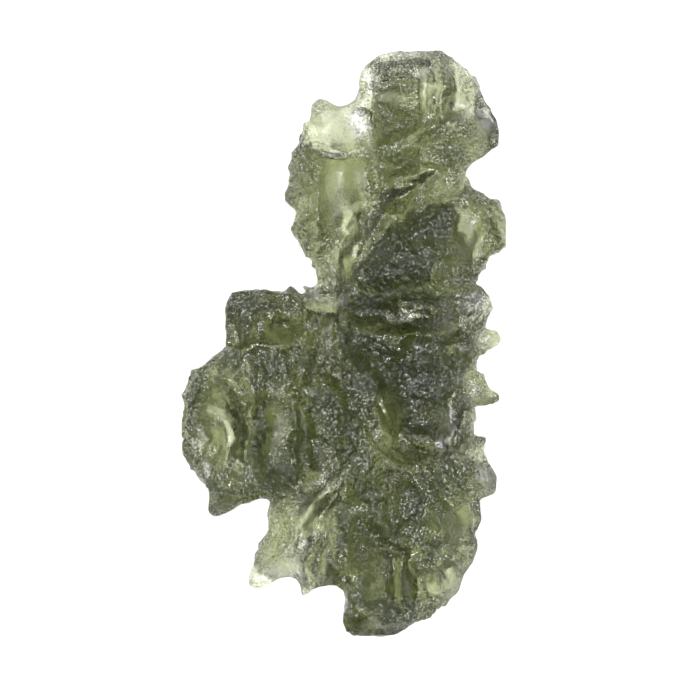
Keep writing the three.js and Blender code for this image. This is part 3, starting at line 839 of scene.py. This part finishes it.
def glass_surface(tree):
    """Clear glass with fine pits of painted shade and light flakes, both thicker where the skin is frosted.
    """
    etched = attribute(tree, (-1500, 400), "frost")
    bare = ranged(tree, (-1100, 700), etched, WINDOW_ETCHING, (1.0, 0.0))
    frost = frosting(tree, etched)
    grain = noise(tree, (-800, 0), GRAIN_SCALE, 3.0, crispness=GRAIN_CRISPNESS)
    pits = pits_with_painted_shade(tree, frost, grain, bare)
    skin = skin_normal(tree, frost, grain)

    shader = node(tree, "ShaderNodeBsdfPrincipled", (300, 100))
    shader.inputs["Transmission Weight"].default_value = 1.0
    shader.inputs["IOR"].default_value = GLASS_IOR
    shader.inputs["Coat IOR"].default_value = FLAKE_IOR
    shader.inputs["Coat Roughness"].default_value = FLAKE_ROUGHNESS
    link = tree.links.new
    # Painted shade: the pits darken the glass colour towards the pit shade
    link(tinted(tree, (0, 700), pits, CLEAR_TINT, PIT_PAINTED_SHADE), shader.inputs["Base Color"])
    link(glass_roughness(tree, pits, bare), shader.inputs["Roughness"])
    link(light_flakes(tree, etched, frost, grain, bare), shader.inputs["Coat Weight"])
    link(skin, shader.inputs["Normal"])
    link(skin, shader.inputs["Coat Normal"])
    return shader.outputs["BSDF"]


def glass_material():
    """Olive glass, darker the thicker it is. Shadow rays pass it, as the pale floor shows no shadow."""
    material = bpy.data.materials.new("olive_glass")
    material.use_nodes = True
    tree = material.node_tree
    tree.nodes.clear()
    link = tree.links.new
    output = node(tree, "ShaderNodeOutputMaterial", (900, 0))
    shadows = node(tree, "ShaderNodeLightPath", (300, 500)).outputs["Is Shadow Ray"]

    clear = node(tree, "ShaderNodeBsdfTransparent", (300, -600))
    clear.inputs["Color"].default_value = (*SHADOW_TINT, 1)
    surface = node(tree, "ShaderNodeMixShader", (650, 100))
    link(shadows, surface.inputs["Fac"])
    link(glass_surface(tree), surface.inputs[1])
    link(clear.outputs["BSDF"], surface.inputs[2])
    link(surface.outputs["Shader"], output.inputs["Surface"])

    absorption = node(tree, "ShaderNodeVolumeAbsorption", (300, -800))
    absorption.inputs["Color"].default_value = (*GLASS_COLOUR, 1)
    absorption.inputs["Density"].default_value = GLASS_DENSITY
    depths = node(tree, "ShaderNodeMixShader", (650, -700))
    link(shadows, depths.inputs["Fac"])
    link(absorption.outputs["Volume"], depths.inputs[1])
    link(depths.outputs["Shader"], output.inputs["Volume"])
    return material


def floor_material():
    material = bpy.data.materials.new("pale_surface")
    material.use_nodes = True
    shader = material.node_tree.nodes["Principled BSDF"]
    shader.inputs["Base Color"].default_value = (*FLOOR_COLOUR, 1)
    shader.inputs["Roughness"].default_value = FLOOR_ROUGHNESS
    shader.inputs["Specular IOR Level"].default_value = FLOOR_GLOSS
    return material


def dress(obj, material):
    obj.data.materials.clear()
    obj.data.materials.append(material)


# The setting


def pale_floor():
    deselect()
    bpy.ops.mesh.primitive_plane_add(size=FLOOR_SIZE, location=(0, 0, 0))
    floor = bpy.context.active_object
    floor.name = "pale_floor"
    dress(floor, floor_material())


def softbox(name, place, size, watts):
    """A square lamp that faces the stone."""
    deselect()
    bpy.ops.object.light_add(type="AREA", location=place)
    lamp = bpy.context.active_object
    lamp.name = name
    lamp.data.size = size
    lamp.data.energy = watts
    aim = Vector((0, 0, RIM_HEIGHT)) - Vector(place)
    lamp.rotation_euler = aim.to_track_quat("-Z", "Y").to_euler()


def studio_light():
    """The lamps, and a faint white light from all around."""
    for lamp in LAMPS:
        softbox(*lamp)
    world = bpy.data.worlds.new("studio")
    world.use_nodes = True
    background = world.node_tree.nodes["Background"]
    background.inputs["Color"].default_value = (1, 1, 1, 1)
    background.inputs["Strength"].default_value = SKY_STRENGTH
    bpy.context.scene.world = world


def photo_camera():
    """Looks straight down through a long lens, framed as the photograph is."""
    data = bpy.data.cameras.new("photo_camera")
    data.lens = LENS
    data.sensor_width = SENSOR_WIDTH
    data.clip_end = FARTHEST_VIEW
    camera = bpy.data.objects.new("photo_camera", data)
    bpy.context.scene.collection.objects.link(camera)
    middle = PHOTO_WIDTH / 2
    distance = PHOTO_WIDTH * STEP * data.lens / data.sensor_width
    camera.location = on_plan(middle, middle, RIM_HEIGHT + distance)
    bpy.context.scene.camera = camera


stone = etched_stone()
dress(stone, glass_material())
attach(stone, "root")
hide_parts("moldavite")

pale_floor()
studio_light()
photo_camera()
bpy.context.scene.view_settings.view_transform = "Standard"
